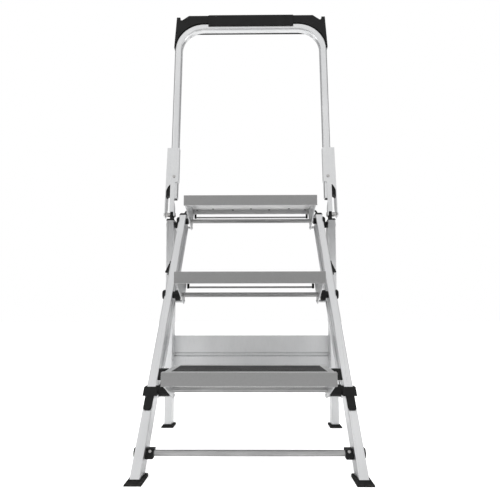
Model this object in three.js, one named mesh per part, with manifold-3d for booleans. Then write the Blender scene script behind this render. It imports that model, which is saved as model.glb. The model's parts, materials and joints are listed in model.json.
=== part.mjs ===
// A folding platform step ladder in aluminium: two leaning front rails that carry three hinged
// treads, two rear rails joined by a panel, and a U-shaped handrail with a tool tray.
// Millimetres, +Z up. The treads face -Y and the climber's left is -X. Inside the ladder group Y
// is counted from the front edge of the front feet, and the group is then centred on the origin.

import * as THREE from 'three';
import { mergeVertices } from 'three/addons/utils/BufferGeometryUtils.js';
import Module from 'manifold-3d';

const wasm = await Module();
wasm.setup();

// ---- Overall layout ----
const STEP_COUNT = 3;
const STEP_RISE = 240;
const STEP_RUN = 160;
const FIRST_LIP_Y = 8;
const OVERALL_DEPTH = 690;
const GAP = 0.3;              // clearance between pieces that touch
const RUNNING = 0.4;          // radial clearance of a turning pin

// ---- Rails: horizontal section at the floor, and how it shifts for each millimetre of height ----
const FRONT_RAIL = {
  innerX: 239.5, outerX: 262, footY: 37.7, depth: 66,
  slopeX: -0.05, slopeY: STEP_RUN / STEP_RISE,
};
const HINGE = { y: 489, z: 659 };
const REAR_FOOT_Y = 655;
const REAR_RAIL = {
  innerX: 267.5, outerX: 291.5, footY: REAR_FOOT_Y, depth: 60,
  slopeX: -0.035, slopeY: (HINGE.y - REAR_FOOT_Y) / HINGE.z,
};
const RAIL_WALL = 2.4;
const RAIL_CORNER = 3;
const RAIL_START_Z = 4.8;
const FRONT_RAIL_TOP = 688;
const REAR_RAIL_TOP = 669;
const FOOT = {
  flareIn: 7, flareOut: 9, flareY: 5, wall: 2.5,
  soleZ: 3.5, socketZ: 4.5, height: 12, backHeight: 7,
};
const HINGE_PIN_RADIUS = 5;
const HINGE_SHOULDER_RADIUS = 9.5;
const HINGE_HEAD = { radius: 8, height: 3 };

// ---- Treads ----
const TREAD_HALF_WIDTH = 196;
const TREAD_DEPTH = 208;
const SHEET = 2.2;
const LIP_HEIGHT = 31;
const REAR_FLANGE = 16.5;
const NOSE_DEPTH = 24;         // raised edges of the tread that the mat lies between
const NOSE_HEIGHT = 2;
const HEM_HEIGHT = 6;
const HEM_THICKNESS = 4;
const GRAB_BAR = { fromBack: 8, drop: 29, radius: 2.8, half: 186.5, tab: 5 };
const MAT_THICKNESS = 1.6;
const MAT_MARGIN = NOSE_DEPTH + GAP;
const SIDE_PLATE = { innerX: 189.5, outerX: 192.5 };

// ---- Tread pivots and the bars that tie the treads together ----
const PIVOT_DROP = 54;         // pivot rod below the tread's top
const PIVOT_BEHIND_LIP = 131;
const ROD_RADIUS = 6.5;
const CRANK = { y: 24, z: -17 }; // tie bar pin, measured from the pivot rod
const CRANK_RADIUS = 4;
const TIE_BAR = { fromRail: 2.6, thickness: 2.5, halfWidth: 6 };
const BRACKET_RADIUS = 13;
const BOSS_RADIUS = 9.8;
const BOSS_LENGTH = 7;         // the slim stretch beside the rail that the tie bar passes
const LOWER_CAP_THICKNESS = 5.8;
const PIVOT_CAP_THICKNESS = 5.8;
const CAP_RADIUS = 14;
const CAP_ROUNDING = 2.5;
const ROD_IN_CAP = 4;
const LOWER_ROD_Z = 53;
const LOWER_ROD_RADIUS = 7;
const LOWER_BLOCK = { length: 18, halfY: 11, below: 10.5, above: 9.5 };

// ---- Handrail, measured from its pivot ----
const HANDRAIL_PIVOT = { y: 474.5, z: 690 };
const HANDRAIL_LEAN = THREE.MathUtils.degToRad(5.4);
const TUBE = { x: 248.5, width: 25, depth: 26, wall: 2, corner: 8, startZ: 52, topZ: 677, bend: 87.5 };
const BRACKET = {
  innerX: 233.5, outerX: 275.5, sheet: 2.5, frontY: -16,
  webLow: 108, webTop: 224, webDip: 66, flangeDepth: 50,
  taper: 0.015, taperFrom: 30,   // the outer flange leans inward above this height
};
const BLOCK = { innerLow: 65, outerLow: 57, top: 118, back: 14 };
const HANDRAIL_PIN_RADIUS = 4;
const TONGUE = { innerX: 249, outerX: 258, radius: 11 };
const TRAY = {
  top: 719, backY: 50, binBottom: 688.5, binHalf: 196,
  wall: 2.5, frontLap: 4, lapHalf: 147,
};

const MATERIALS = {
  aluminium: new THREE.MeshStandardMaterial({ color: 0xc9cccf, roughness: 0.38, metalness: 0.9 }),
  brushed: new THREE.MeshStandardMaterial({ color: 0xa4a6a8, roughness: 0.5, metalness: 0.9 }),
  steel: new THREE.MeshStandardMaterial({ color: 0xb4b6b8, roughness: 0.3, metalness: 1.0 }),
  plastic: new THREE.MeshStandardMaterial({ color: 0x1b1b1c, roughness: 0.55, metalness: 0.0 }),
  rubber: new THREE.MeshStandardMaterial({ color: 0x141415, roughness: 0.85, metalness: 0.0 }),
  mat: new THREE.MeshStandardMaterial({ color: 0x2f3133, roughness: 0.95, metalness: 0.0 }),
};

// ---- Booleans ----

// A closed three.js geometry as a solid that can be joined and cut.
function solid(geometry) {
  const bare = geometry.index ? geometry.toNonIndexed() : geometry.clone();
  bare.deleteAttribute('normal');
  bare.deleteAttribute('uv');
  const merged = mergeVertices(bare, 1e-4);
  const vertProperties = Float32Array.from(merged.attributes.position.array);
  const triVerts = Uint32Array.from(merged.index.array);
  return new wasm.Manifold(new wasm.Mesh({ numProp: 3, vertProperties, triVerts }));
}

function joined(first, ...others) {
  return others.reduce((sum, other) => sum.add(other), first);
}

function cut(body, ...tools) {
  return tools.reduce((rest, tool) => rest.subtract(tool), body);
}

function geometryOf(body) {
  const mesh = body.getMesh();
  const geometry = new THREE.BufferGeometry();
  geometry.setAttribute('position', new THREE.BufferAttribute(Float32Array.from(mesh.vertProperties), 3));
  geometry.setIndex(Array.from(mesh.triVerts));
  const faceted = geometry.toNonIndexed();
  faceted.computeVertexNormals();
  return faceted;
}

// The same shape on the other side of the ladder, with its faces still pointing out.
function mirrored(geometry) {
  const copy = geometry.clone();
  const position = copy.attributes.position;
  for (let i = 0; i < position.count; i += 3) {
    const [a, b, c] = [0, 1, 2].map((k) => new THREE.Vector3().fromBufferAttribute(position, i + k));
    [a, c, b].forEach((p, k) => position.setXYZ(i + k, -p.x, p.y, p.z));
  }
  copy.computeVertexNormals();
  return copy;
}

// ---- Basic solids ----

function box(x0, x1, y0, y1, z0, z1) {
  const geometry = new THREE.BoxGeometry(x1 - x0, y1 - y0, z1 - z0);
  return geometry.translate((x0 + x1) / 2, (y0 + y1) / 2, (z0 + z1) / 2);
}

// A round bar along X.
function bar(x0, x1, y, z, radius, sides = 16) {
  const geometry = new THREE.CylinderGeometry(radius, radius, x1 - x0, sides);
  geometry.rotateZ(Math.PI / 2);
  return geometry.translate((x0 + x1) / 2, y, z);
}

// A stepped round pin along X: each stretch is [x0, x1, radius], and neighbours share an end.
function steppedPin(stretches, y, z) {
  const profile = [new THREE.Vector2(0, stretches[0][0])];
  for (const [x0, x1, radius] of stretches) {
    profile.push(new THREE.Vector2(radius, x0));
    profile.push(new THREE.Vector2(radius, x1));
  }
  profile.push(new THREE.Vector2(0, stretches.at(-1)[1]));
  const geometry = new THREE.LatheGeometry(profile, 16);
  geometry.rotateZ(-Math.PI / 2);
  return geometry.translate(0, y, z);
}

// Six flat faces between a low and a high rectangle, each given as [x0, x1, y0, y1].
function frustum(low, zLow, high, zHigh) {
  const geometry = new THREE.BoxGeometry(1, 1, 1);
  const position = geometry.attributes.position;
  for (let i = 0; i < position.count; i += 1) {
    const raised = position.getZ(i) > 0;
    const [x0, x1, y0, y1] = raised ? high : low;
    const x = position.getX(i) > 0 ? x1 : x0;
    const y = position.getY(i) > 0 ? y1 : y0;
    position.setXYZ(i, x, y, raised ? zHigh : zLow);
  }
  return geometry;
}

// The outline that a string pulled round some discs would take; a disc is [y, z, radius].
function hullOutline(discs) {
  const points = [];
  for (const [y, z, radius] of discs) {
    const sides = radius > 0 ? 20 : 1;
    for (let i = 0; i < sides; i += 1) {
      const angle = (2 * Math.PI * i) / sides;
      points.push([y + radius * Math.cos(angle), z + radius * Math.sin(angle)]);
    }
  }
  points.sort((a, b) => a[0] - b[0] || a[1] - b[1]);
  const turn = (o, a, b) => (a[0] - o[0]) * (b[1] - o[1]) - (a[1] - o[1]) * (b[0] - o[0]);
  const chain = (list) => {
    const kept = [];
    for (const point of list) {
      while (kept.length > 1 && turn(kept.at(-2), kept.at(-1), point) <= 1e-6) kept.pop();
      kept.push(point);
    }
    kept.pop();
    return kept;
  };
  const outline = [...chain(points), ...chain(points.toReversed())];
  return new THREE.Shape(outline.map(([y, z]) => new THREE.Vector2(y, z)));
}

// An outline drawn in Y and Z, given thickness along X.
function plate(shape, x0, x1) {
  const options = { depth: x1 - x0, bevelEnabled: false, curveSegments: 6 };
  const geometry = new THREE.ExtrudeGeometry(shape, options);
  const along = new THREE.Matrix4().makeBasis(
    new THREE.Vector3(0, 1, 0), new THREE.Vector3(0, 0, 1), new THREE.Vector3(1, 0, 0));
  return geometry.applyMatrix4(along).translate(x0, 0, 0);
}

// An outline drawn in X and Z, given thickness along Y.
function panel(shape, y0, y1) {
  const options = { depth: y1 - y0, bevelEnabled: false, curveSegments: 8 };
  const geometry = new THREE.ExtrudeGeometry(shape, options);
  return geometry.rotateX(Math.PI / 2).translate(0, y1, 0);
}

function roundedRectangle(PathClass, x0, x1, y0, y1, radius) {
  const path = new PathClass();
  path.moveTo(x0 + radius, y0);
  path.lineTo(x1 - radius, y0);
  path.quadraticCurveTo(x1, y0, x1, y0 + radius);
  path.lineTo(x1, y1 - radius);
  path.quadraticCurveTo(x1, y1, x1 - radius, y1);
  path.lineTo(x0 + radius, y1);
  path.quadraticCurveTo(x0, y1, x0, y1 - radius);
  path.lineTo(x0, y0 + radius);
  path.quadraticCurveTo(x0, y0, x0 + radius, y0);
  return path;
}

// A closed rectangle's outline with rounded corners, and the same shrunk by the wall as its hole.
function tubeSection(x0, x1, y0, y1, wall, corner) {
  const section = roundedRectangle(THREE.Shape, x0, x1, y0, y1, corner);
  section.holes.push(roundedRectangle(THREE.Path, x0 + wall, x1 - wall, y0 + wall, y1 - wall, corner / 2));
  return section;
}

// ---- Rails ----

// Shears a geometry that is drawn upright, with Y counted from the rail's middle, onto a rail.
function followRail(geometry, rail) {
  const shear = new THREE.Matrix4().set(
    1, 0, rail.slopeX, 0,
    0, 1, rail.slopeY, rail.footY,
    0, 0, 1, 0,
    0, 0, 0, 1);
  return geometry.applyMatrix4(shear);
}

function railX(rail, side, z) {
  return rail[side] + rail.slopeX * z;
}

function railTube(rail, topZ) {
  const half = rail.depth / 2;
  const section = tubeSection(rail.innerX, rail.outerX, -half, half, RAIL_WALL, RAIL_CORNER);
  const options = { depth: topZ - RAIL_START_Z, bevelEnabled: false, curveSegments: 3 };
  const tube = new THREE.ExtrudeGeometry(section, options).translate(0, 0, RAIL_START_Z);
  return solid(followRail(tube, rail));
}

// The space a rail fills, with a small clearance, between two heights.
function railSpace(rail, z0, z1) {
  const half = rail.depth / 2 + GAP;
  return solid(followRail(box(rail.innerX - GAP, rail.outerX + GAP, -half, half, z0, z1), rail));
}

// A flared rubber shoe that the rail's lower end stands in; its top slopes down to the back.
function foot(rail) {
  const half = rail.depth / 2;
  const { flareIn, flareOut, flareY, wall, soleZ, socketZ, height, backHeight } = FOOT;
  const low = [rail.innerX - flareIn, rail.outerX + flareOut, -half - flareY, half + flareY];
  const high = [rail.innerX - wall, rail.outerX + wall, -half - wall, half + wall];
  const sole = solid(frustum(low, 0, low, soleZ));
  const socket = solid(frustum(low, soleZ, high, height));
  const [x0, x1] = [rail.innerX - GAP, rail.outerX + GAP];
  const recess = solid(box(x0, x1, -half - GAP, half + GAP, socketZ, height + 5));
  const reach = half + flareY + 1;
  const slope = new THREE.Shape();
  slope.moveTo(-reach, height);
  slope.lineTo(reach, backHeight);
  slope.lineTo(reach, height + 1);
  slope.lineTo(-reach, height + 1);
  const offcut = solid(plate(slope, x0 - 30, x1 + 30));
  return solid(followRail(geometryOf(cut(joined(sole, socket), recess, offcut)), rail));
}

function frontFoot() {
  return keptBetween(foot(FRONT_RAIL), 0, OVERALL_DEPTH / 2);
}

function rearFoot() {
  return keptBetween(foot(REAR_RAIL), OVERALL_DEPTH / 2, OVERALL_DEPTH);
}

// Trims a foot to the ladder's own length along Y.
function keptBetween(body, y0, y1) {
  return body.intersect(solid(box(0, 400, y0, y1, 0, 100)));
}

// ---- Front frame ----

function treadZ(step) {
  return STEP_RISE * step;
}

function lipY(step) {
  return FIRST_LIP_Y + STEP_RUN * (step - 1);
}

function pivotOf(step) {
  return { y: lipY(step) + PIVOT_BEHIND_LIP, z: treadZ(step) - PIVOT_DROP };
}

function lowerRodY() {
  return FRONT_RAIL.footY + FRONT_RAIL.slopeY * LOWER_ROD_Z;
}

const steps = Array.from({ length: STEP_COUNT }, (_, index) => index + 1);

function frontRail() {
  const bores = steps.map((step) => {
    const { y, z } = pivotOf(step);
    return solid(bar(150, 300, y, z, ROD_RADIUS + GAP));
  });
  const lowerBore = solid(bar(150, 300, lowerRodY(), LOWER_ROD_Z, LOWER_ROD_RADIUS + GAP));
  const hingeBore = solid(bar(150, 300, HINGE.y, HINGE.z, HINGE_PIN_RADIUS + GAP));
  return cut(railTube(FRONT_RAIL, FRONT_RAIL_TOP), ...bores, lowerBore, hingeBore);
}

// A moulded top cap with a thin arched strap that reaches in to the platform's end.
function frontRailCap() {
  const half = FRONT_RAIL.depth / 2;
  const z0 = FRONT_RAIL_TOP + GAP;
  const low = [FRONT_RAIL.innerX - 0.5, FRONT_RAIL.outerX + 0.5, -half - 0.5, half + 0.5];
  const high = [FRONT_RAIL.innerX + 2, FRONT_RAIL.outerX - 2, -half + 3, half - 3];
  const lid = solid(followRail(frustum(low, z0, high, z0 + 7), FRONT_RAIL));
  const centreX = TREAD_HALF_WIDTH + 3;
  const arch = new THREE.Shape();
  arch.absarc(centreX, z0 + 4, 16.5, 0, Math.PI / 2, false);
  arch.absarc(centreX, z0 + 4, 14, Math.PI / 2, 0, true);
  const middleY = FRONT_RAIL.footY + FRONT_RAIL.slopeY * z0;
  return joined(lid, solid(panel(arch, middleY - 14, middleY + 4)));
}

function lowerRod() {
  const reach = railX(FRONT_RAIL, 'outerX', LOWER_ROD_Z) + ROD_IN_CAP;
  return solid(bar(-reach, reach, lowerRodY(), LOWER_ROD_Z, LOWER_ROD_RADIUS));
}

function lowerRodBlock() {
  const { length, halfY, below, above } = LOWER_BLOCK;
  const { innerX } = FRONT_RAIL;
  const [z0, z1] = [LOWER_ROD_Z - below, LOWER_ROD_Z + above];
  const block = box(innerX - length, innerX - GAP, -halfY, halfY, z0, z1);
  const bore = solid(bar(150, 300, lowerRodY(), LOWER_ROD_Z, LOWER_ROD_RADIUS + GAP));
  return cut(solid(followRail(block, FRONT_RAIL)), bore);
}

// A rounded cap on the rail's outer face, with a blind bore for a rod's end.
function outerCap(y, z, rodRadius, thickness) {
  const faceX = railX(FRONT_RAIL, 'outerX', z);
  const roundX = faceX + thickness - CAP_ROUNDING;
  const dome = steppedPin([
    [faceX - 3, roundX, CAP_RADIUS],
    [roundX, faceX + thickness, CAP_RADIUS - CAP_ROUNDING],
  ], y, z);
  const bore = solid(bar(faceX - 10, faceX + ROD_IN_CAP + GAP, y, z, rodRadius + GAP));
  return cut(solid(dome), railSpace(FRONT_RAIL, z - 40, z + 40), bore, inboardOf(faceX - 2));
}

// Everything between the middle of the ladder and a plane across X.
function inboardOf(x) {
  return solid(box(0, x, -50, OVERALL_DEPTH, -50, 1500));
}

function lowerRodCap() {
  return outerCap(lowerRodY(), LOWER_ROD_Z, LOWER_ROD_RADIUS, LOWER_CAP_THICKNESS);
}

function pivotCap(step) {
  const { y, z } = pivotOf(step);
  return outerCap(y, z, ROD_RADIUS, PIVOT_CAP_THICKNESS);
}

function pivotRod(step) {
  const { y, z } = pivotOf(step);
  const reach = railX(FRONT_RAIL, 'outerX', z) + ROD_IN_CAP;
  return solid(bar(-reach, reach, y, z, ROD_RADIUS));
}

// The moulded bearing between a tread's end and the rail: a block round the rod, with a slim
// boss beside the rail that leaves room for the tie bar.
function stepBearing(step) {
  const { y, z } = pivotOf(step);
  const faceX = railX(FRONT_RAIL, 'innerX', z);
  const startX = TREAD_HALF_WIDTH + 1.5;
  const boss = solid(bar(startX, faceX + 3, y, z, BOSS_RADIUS));
  const blockEnd = faceX - BOSS_LENGTH;
  if (blockEnd < startX + 2) return cut(boss, railInnerSide(z));
  const outline = hullOutline([[y, z, BRACKET_RADIUS], [y + 3, z - 5, BRACKET_RADIUS - 2]]);
  const block = solid(plate(outline, startX, blockEnd));
  return cut(joined(boss, block), railInnerSide(z));
}

// The half space outboard of a rail's inner face, around one height.
function railInnerSide(z) {
  return solid(followRail(box(FRONT_RAIL.innerX - GAP, 330, -200, 200, z - 60, z + 60), FRONT_RAIL));
}

function stepBracket(step) {
  const { y, z } = pivotOf(step);
  const bore = solid(bar(150, 270, y, z, ROD_RADIUS + GAP));
  if (step > 1) return cut(stepBearing(step), bore);
  const rodEnd = railX(FRONT_RAIL, 'outerX', z) + ROD_IN_CAP + GAP;
  const capBore = solid(bar(150, rodEnd, y, z, ROD_RADIUS + GAP));
  return cut(joined(stepBearing(step), frontSleeve(z)), capBore);
}

// The bottom bracket also wraps the rail's front: a wide collar, and a narrower cover below it.
function frontSleeve(z) {
  const half = FRONT_RAIL.depth / 2;
  const { innerX, outerX } = FRONT_RAIL;
  const collar = box(innerX - 6, outerX + LOWER_CAP_THICKNESS, -half - 4, -half + 24, z - 12, z + 8);
  const cover = new THREE.Shape();
  cover.moveTo(innerX + 1, z - 11);
  cover.lineTo(innerX + 1, z - 35);
  cover.quadraticCurveTo(innerX + 1, z - 41, innerX + 6, z - 41);
  cover.lineTo(outerX - 6, z - 41);
  cover.quadraticCurveTo(outerX - 1, z - 41, outerX - 1, z - 35);
  cover.lineTo(outerX - 1, z - 11);
  const upright = joined(solid(collar), solid(panel(cover, -half - 3.5, -half + 1)));
  const sleeve = solid(followRail(geometryOf(upright), FRONT_RAIL));
  return cut(sleeve, railSpace(FRONT_RAIL, z - 80, z + 80));
}

// A block on the rail's inner face, beside the bottom tread's end and clear of the tie bar.
function stepRest() {
  const { innerX } = FRONT_RAIL;
  const low = [innerX - 17, innerX - GAP, -31, -13];
  const high = [innerX - 22, innerX - GAP, -31, -13];
  return solid(followRail(frustum(low, 208, high, 234), FRONT_RAIL));
}

// A tapered guide on the rail's outer face that the rear rail slides past when it folds in.
function railGuide() {
  const guideX = FRONT_RAIL.outerX;
  const startX = guideX + GAP;
  const wedge = frustum([startX, guideX + 5, -22, 8], 486, [startX, guideX + 4, -22, 8], 530);
  const nose = frustum([startX, guideX + 14, -18, 4], 494, [startX, guideX + 4, -18, 4], 526);
  return solid(followRail(geometryOf(joined(solid(wedge), solid(nose))), FRONT_RAIL));
}

// A shoulder bolt that both rails turn on, its wide shoulder holding them apart. Its inner end is
// flush with the front rail, because the tie bar passes there.
function mainHingeBolt() {
  const frontInner = railX(FRONT_RAIL, 'innerX', HINGE.z);
  const frontOuter = railX(FRONT_RAIL, 'outerX', HINGE.z);
  const rearInner = railX(REAR_RAIL, 'innerX', HINGE.z);
  const rearOuter = railX(REAR_RAIL, 'outerX', HINGE.z);
  return solid(steppedPin([
    [frontInner + 0.4, frontOuter + 1, HINGE_PIN_RADIUS],
    [frontOuter + 1, rearInner - 1, HINGE_SHOULDER_RADIUS],
    [rearInner - 1, rearOuter + 1, HINGE_PIN_RADIUS],
    [rearOuter + 1, rearOuter + 1 + HINGE_HEAD.height, HINGE_HEAD.radius],
  ], HINGE.y, HINGE.z));
}

// ---- Treads: Y from the lip's face and Z from the tread's top ----

function treadDeck() {
  const section = new THREE.Shape();
  const back = TREAD_DEPTH;
  section.moveTo(0, -LIP_HEIGHT);
  section.lineTo(0, -3);
  section.quadraticCurveTo(0, 0, 3, 0);
  section.lineTo(NOSE_DEPTH, 0);
  section.lineTo(NOSE_DEPTH, -NOSE_HEIGHT);
  section.lineTo(back - NOSE_DEPTH, -NOSE_HEIGHT);
  section.lineTo(back - NOSE_DEPTH, 0);
  section.lineTo(back - 3, 0);
  section.quadraticCurveTo(back, 0, back, -3);
  section.lineTo(back, -REAR_FLANGE);
  section.lineTo(back - HEM_THICKNESS, -REAR_FLANGE);
  section.lineTo(back - HEM_THICKNESS, -REAR_FLANGE + HEM_HEIGHT);
  section.lineTo(back - SHEET, -REAR_FLANGE + HEM_HEIGHT);
  section.lineTo(back - SHEET, -NOSE_HEIGHT - SHEET);
  section.lineTo(SHEET, -NOSE_HEIGHT - SHEET);
  section.lineTo(SHEET, -LIP_HEIGHT + HEM_HEIGHT);
  section.lineTo(HEM_THICKNESS, -LIP_HEIGHT + HEM_HEIGHT);
  section.lineTo(HEM_THICKNESS, -LIP_HEIGHT);
  const channel = solid(plate(section, -TREAD_HALF_WIDTH, TREAD_HALF_WIDTH));
  return joined(channel, grabBar());
}

// A thin bar under the tread's back edge, hung on a tab at each end.
function grabBar() {
  const { fromBack, drop, radius, half, tab } = GRAB_BAR;
  const y = TREAD_DEPTH - fromBack;
  const rod = solid(bar(-half, half, y, -drop, radius, 12));
  const tabs = [-half, half - tab].map((x) => (
    solid(box(x, x + tab, y - radius, y + radius, -drop, -NOSE_HEIGHT - SHEET / 2))));
  return joined(rod, ...tabs);
}

function treadMat() {
  const halfX = TREAD_HALF_WIDTH - 18;
  const z0 = -NOSE_HEIGHT + GAP;
  return solid(box(-halfX, halfX, MAT_MARGIN, TREAD_DEPTH - MAT_MARGIN, z0, z0 + MAT_THICKNESS));
}

// A side plate closes the tread's end and carries the pivot and the tie bar's pin.
function sidePlate() {
  const front = HEM_THICKNESS + 0.4;
  const back = TREAD_DEPTH - HEM_THICKNESS - 0.4;
  const top = -NOSE_HEIGHT - SHEET - 0.4;
  const crankY = PIVOT_BEHIND_LIP + CRANK.y;
  const crankZ = -PIVOT_DROP + CRANK.z;
  const outline = hullOutline([
    [front, top, 0], [front, -LIP_HEIGHT + 1, 0], [back, top, 0], [back, -REAR_FLANGE + 1, 0],
    [PIVOT_BEHIND_LIP, -PIVOT_DROP, 16], [crankY, crankZ, 7.5],
  ]);
  const { innerX, outerX } = SIDE_PLATE;
  const pivotBore = solid(bar(innerX - 5, outerX + 5, PIVOT_BEHIND_LIP, -PIVOT_DROP, ROD_RADIUS + RUNNING));
  const crankBore = solid(bar(innerX - 5, outerX + 5, crankY, crankZ, CRANK_RADIUS + RUNNING, 12));
  return cut(solid(plate(outline, innerX, outerX)), pivotBore, crankBore);
}

// ---- Tie bars: flat bars beside the front rails that keep the treads parallel as they fold ----

function tieBar() {
  const pins = steps.map((step) => {
    const { y, z } = pivotOf(step);
    return [y + CRANK.y, z + CRANK.z];
  });
  const outer = FRONT_RAIL.innerX - TIE_BAR.fromRail;
  const inner = outer - TIE_BAR.thickness;
  const lean = new THREE.Matrix4().makeShear(0, 0, 0, 0, FRONT_RAIL.slopeX, 0);
  const ends = [pins[0], pins.at(-1)].map(([y, z]) => [y, z, TIE_BAR.halfWidth]);
  const flat = solid(plate(hullOutline(ends), inner, outer).applyMatrix4(lean));
  const studs = pins.map(([y, z]) => {
    const barX = inner + FRONT_RAIL.slopeX * z + 1.5;
    return solid(bar(SIDE_PLATE.innerX - 2, barX, y, z, CRANK_RADIUS, 12));
  });
  return joined(flat, ...studs);
}

// ---- Rear frame ----

function rearRail() {
  const bore = solid(bar(150, 320, HINGE.y, HINGE.z, HINGE_PIN_RADIUS + RUNNING));
  return cut(railTube(REAR_RAIL, REAR_RAIL_TOP), bore);
}

// A folded sheet across the back of both rear rails, with one stiffening rib.
function rearPanel() {
  const face = REAR_RAIL.depth / 2 + GAP;
  const sheet = 2;
  const halfX = REAR_RAIL.outerX - 14;
  const section = new THREE.Shape();
  section.moveTo(face, 186);
  section.lineTo(face + 12, 186);
  section.lineTo(face + 12, 186 + sheet);
  section.lineTo(face + sheet, 186 + sheet);
  section.lineTo(face + sheet, 232);
  section.lineTo(face + sheet + 6, 236);
  section.lineTo(face + sheet + 6, 244);
  section.lineTo(face + sheet, 248);
  section.lineTo(face + sheet, 304 - sheet);
  section.lineTo(face + 12, 304 - sheet);
  section.lineTo(face + 12, 304);
  section.lineTo(face, 304);
  section.lineTo(face, 247);
  section.lineTo(face + 6, 243);
  section.lineTo(face + 6, 237);
  section.lineTo(face, 233);
  const upright = plate(section, -halfX, halfX);
  const lean = { ...REAR_RAIL, slopeX: 0 };
  return solid(followRail(upright, lean));
}

// The rear rail's top cap has a tongue between the handrail's two lugs.
function rearRailCap() {
  const half = REAR_RAIL.depth / 2;
  const z0 = REAR_RAIL_TOP + GAP;
  const low = [REAR_RAIL.innerX - 0.5, REAR_RAIL.outerX + 0.5, -half - 0.5, half + 0.5];
  const high = [REAR_RAIL.innerX + 2, REAR_RAIL.outerX - 2, -half + 4, half - 4];
  const lid = solid(followRail(frustum(low, z0, high, z0 + 5.5), REAR_RAIL));
  const { y, z } = HANDRAIL_PIVOT;
  const outline = hullOutline([[y, z, TONGUE.radius], [y - 14, z0 + 3, 0], [y + 26, z0 + 3, 0]]);
  const tongue = solid(plate(outline, TONGUE.innerX, TONGUE.outerX));
  return cut(joined(lid, tongue), solid(bar(200, 300, y, z, HANDRAIL_PIN_RADIUS + RUNNING)));
}

// ---- Handrail: Y and Z from its pivot, before it leans back ----

// The tube's middle line: up, round a bend, across, round the other bend and down.
class HandrailLine extends THREE.Curve {
  constructor() {
    super();
    const { x, startZ, topZ, bend } = TUBE;
    const bendSteps = 7;
    this.points = [new THREE.Vector3(-x, 0, startZ)];
    for (const side of [-1, 1]) {
      for (let i = 0; i <= bendSteps; i += 1) {
        const share = side < 0 ? i / bendSteps : 1 - i / bendSteps;
        const angle = (share * Math.PI) / 2;
        const across = side * (x - bend + bend * Math.cos(angle));
        this.points.push(new THREE.Vector3(across, 0, topZ - bend + bend * Math.sin(angle)));
      }
    }
    this.points.push(new THREE.Vector3(x, 0, startZ));
  }

  getPoint(t, target = new THREE.Vector3()) {
    const place = t * (this.points.length - 1);
    const index = Math.min(Math.floor(place), this.points.length - 2);
    return target.lerpVectors(this.points[index], this.points[index + 1], place - index);
  }

  // Samples fall on the listed points, not at equal lengths.
  getUtoTmapping(u) {
    return u;
  }

  // At a listed point the tube's section is square to the mean of the two directions.
  getTangentAt(u, target = new THREE.Vector3()) {
    const last = this.points.length - 1;
    const index = Math.round(u * last);
    const before = this.points[Math.max(index - 1, 0)];
    const here = this.points[index];
    const after = this.points[Math.min(index + 1, last)];
    const incoming = here.clone().sub(before).normalize();
    const outgoing = after.clone().sub(here).normalize();
    return target.copy(incoming).add(outgoing).normalize();
  }
}

function handrailTube() {
  const line = new HandrailLine();
  const { depth, width, wall, corner } = TUBE;
  const section = tubeSection(-depth / 2, depth / 2, -width / 2, width / 2, wall, corner);
  const options = { steps: line.points.length - 1, extrudePath: line, curveSegments: 3 };
  return solid(new THREE.ExtrudeGeometry(section, options));
}

// How far out the bracket's outer flange stands at a height above the pivot.
function flangeX(z) {
  return BRACKET.outerX - BRACKET.taper * Math.max(0, z - BRACKET.taperFrom);
}

// A moulded block between the bracket's outer flange and the line of the tube, with a slanted
// lower end.
function bracketBlock() {
  const clear = BRACKET.sheet + GAP;
  const inner = TUBE.x + TUBE.width / 2 + 1;
  const front = BRACKET.frontY + clear;
  const outline = new THREE.Shape();
  outline.moveTo(inner, BLOCK.innerLow);
  outline.lineTo(flangeX(BLOCK.outerLow) - clear, BLOCK.outerLow);
  outline.lineTo(flangeX(BLOCK.top) - clear, BLOCK.top);
  outline.lineTo(inner, BLOCK.top);
  return solid(panel(outline, front, BLOCK.back));
}

// The outer flange stands upright round the pin and leans inward above it.
function outerFlange(outline) {
  const { outerX, sheet, taper, taperFrom } = BRACKET;
  const upright = solid(plate(outline, outerX - sheet, outerX));
  const low = upright.intersect(solid(box(0, 400, -100, 100, -50, taperFrom)));
  const high = upright.intersect(solid(box(0, 400, -100, 100, taperFrom, 400)));
  const lean = new THREE.Matrix4().set(
    1, 0, -taper, taper * taperFrom,
    0, 1, 0, 0,
    0, 0, 1, 0,
    0, 0, 0, 1);
  return joined(low, solid(geometryOf(high).applyMatrix4(lean)));
}

// A folded bracket: a front web over the tube, an outer flange, and an inner strip with a lug.
function handrailBracket() {
  const { innerX, outerX, sheet, frontY, webLow, webTop, webDip, flangeDepth } = BRACKET;
  const backY = frontY + sheet;
  const stripInner = TONGUE.innerX - 4;
  const stripOuter = TONGUE.outerX + 1.5;
  const web = new THREE.Shape();
  web.moveTo(innerX, webLow);
  web.lineTo(innerX, webTop);
  web.lineTo(flangeX(webTop), webTop);
  web.lineTo(flangeX(webDip), webDip);
  web.quadraticCurveTo(flangeX(webDip) - 5, webLow - 18, stripOuter, webLow - 10);
  web.lineTo(stripOuter, 6);
  web.lineTo(stripInner, 6);
  web.lineTo(stripInner, webLow - 4);
  const flangeBack = frontY + flangeDepth - 6;
  const outer = hullOutline([
    [frontY, webTop, 0], [frontY, 8, 0], [0, 0, 12],
    [flangeBack, 30, 6], [flangeBack, webTop - 90, 6], [frontY + 6, webTop - 3, 3],
  ]);
  const lug = hullOutline([[frontY, 38, 0], [frontY, 8, 0], [0, 0, 9], [9, 24, 0], [-8, 38, 0]]);
  const inner = hullOutline([[frontY, webLow, 0], [frontY, webTop, 0], [4, webTop, 0], [4, webLow, 0]]);
  const pinBore = solid(bar(200, 300, 0, 0, HANDRAIL_PIN_RADIUS + GAP));
  const body = joined(
    solid(panel(web, frontY, backY)),
    outerFlange(outer),
    solid(plate(lug, stripInner, stripInner + sheet)),
    solid(plate(inner, innerX, innerX + sheet)));
  return cut(body, pinBore);
}

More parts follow.
